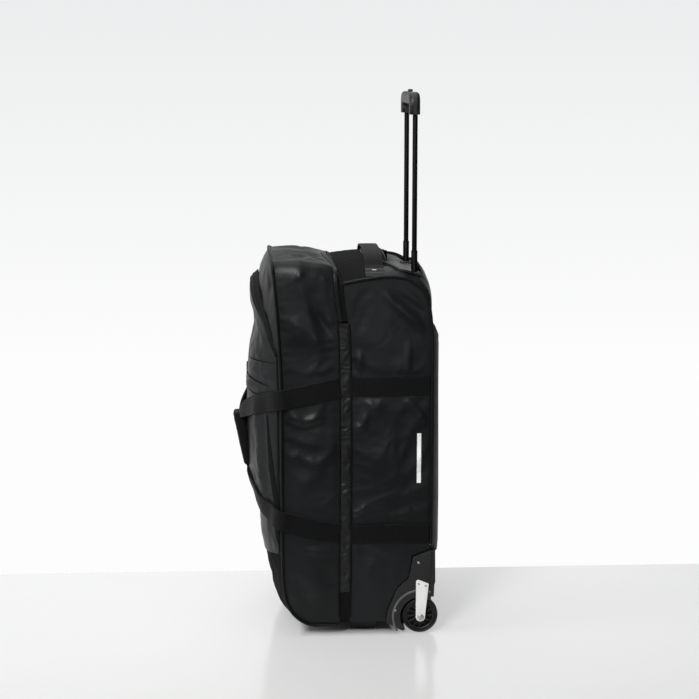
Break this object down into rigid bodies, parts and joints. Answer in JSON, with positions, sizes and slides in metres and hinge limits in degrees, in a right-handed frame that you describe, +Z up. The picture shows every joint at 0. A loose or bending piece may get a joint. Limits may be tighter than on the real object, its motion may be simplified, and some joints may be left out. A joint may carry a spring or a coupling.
{
  "type": "wheeled gear duffel bag",
  "caption": "Upright wheeled duffel in coated black cloth, split by a zip into lid and base, with front pocket, webbing carry handle, trolley handle and rear wheels",
  "frame": {"origin": "on the floor under the middle of the object's box", "axes": "+Z up; +X from the front pocket to the wheels and trolley handle; +Y to the bag's left side"},
  "size_m": [0.428, 0.4152, 1.1269],
  "materials": {
    "coated_cloth": "black coated tarpaulin cloth with a soft gloss and fine creases",
    "piping": "black cloth-covered piping bead",
    "zip_tape": "black woven zip tape with black coil teeth",
    "webbing": "matte black woven webbing",
    "black_tube": "gloss black coated tube",
    "moulded_plastic": "black moulded plastic with a fine grain",
    "grip_plastic": "dark grey moulded grip",
    "tyre_rubber": "black wheel tyre",
    "bracket_plate": "pale silver painted plate",
    "screw_steel": "bright steel heads"
  },
  "bodies": {
    "bag": {"lid_gusset": "coated_cloth", "front_panel": "coated_cloth", "front_pocket": "coated_cloth", "bottom_band": "coated_cloth", "base_gusset": "coated_cloth", "zip_strip_right": "coated_cloth", "zip_strip_left": "coated_cloth", "base_side_right": "coated_cloth", "base_side_left": "coated_cloth", "handle_tab_right": "coated_cloth", "handle_tab_left": "coated_cloth", "lid_piping": "piping", "base_piping_right": "piping", "base_piping_left": "piping", "pocket_zip": "zip_tape", "main_zip": "zip_tape", "pocket_pull": "webbing", "handle_wrap": "webbing", "top_handle": "webbing", "haul_strap_right": "webbing", "haul_strap_left": "webbing", "base_strap_upper_right": "webbing", "base_strap_upper_left": "webbing", "base_strap_lower_right": "webbing", "base_strap_lower_left": "webbing", "outer_tube_right": "black_tube", "outer_tube_left": "black_tube", "handle_tray": "moulded_plastic", "back_panel": "moulded_plastic", "wheel_housing_right": "moulded_plastic", "wheel_housing_left": "moulded_plastic", "foot_right": "moulded_plastic", "foot_left": "moulded_plastic", "wheel_bracket_right": "bracket_plate", "wheel_bracket_left": "bracket_plate", "axle_right": "screw_steel", "axle_left": "screw_steel", "housing_screw_top_right": "screw_steel", "housing_screw_top_left": "screw_steel", "housing_screw_front_right": "screw_steel", "housing_screw_front_left": "screw_steel", "bracket_screw_front_right": "screw_steel", "bracket_screw_front_left": "screw_steel", "bracket_screw_back_right": "screw_steel", "bracket_screw_back_left": "screw_steel"},
    "wheel_right": {"tyre_right": "tyre_rubber", "hub_right": "moulded_plastic"},
    "wheel_left": {"tyre_left": "tyre_rubber", "hub_left": "moulded_plastic"},
    "handle_mid": {"mid_tube_right": "black_tube", "mid_tube_left": "black_tube"},
    "handle_top": {"top_tube_right": "black_tube", "top_tube_left": "black_tube", "grip": "grip_plastic", "grip_button": "grip_plastic"}
  },
  "joints": [
    {"name": "wheel_right_spin", "type": "hinge", "parent": "bag", "child": "wheel_right", "pos_m": [0.176, -0.1815, 0.038], "axis": [0, 1, 0], "continuous": true},
    {"name": "wheel_left_spin", "type": "hinge", "parent": "bag", "child": "wheel_left", "pos_m": [0.176, 0.1815, 0.038], "axis": [0, 1, 0], "continuous": true},
    {"name": "handle_mid_slide", "type": "slide", "parent": "bag", "child": "handle_mid", "axis": [0, 0, 1], "range_m": [-0.032, 0]},
    {"name": "handle_top_slide", "type": "slide", "parent": "handle_mid", "child": "handle_top", "axis": [0, 0, 1], "range_m": [-0.278, 0]}
  ]
}
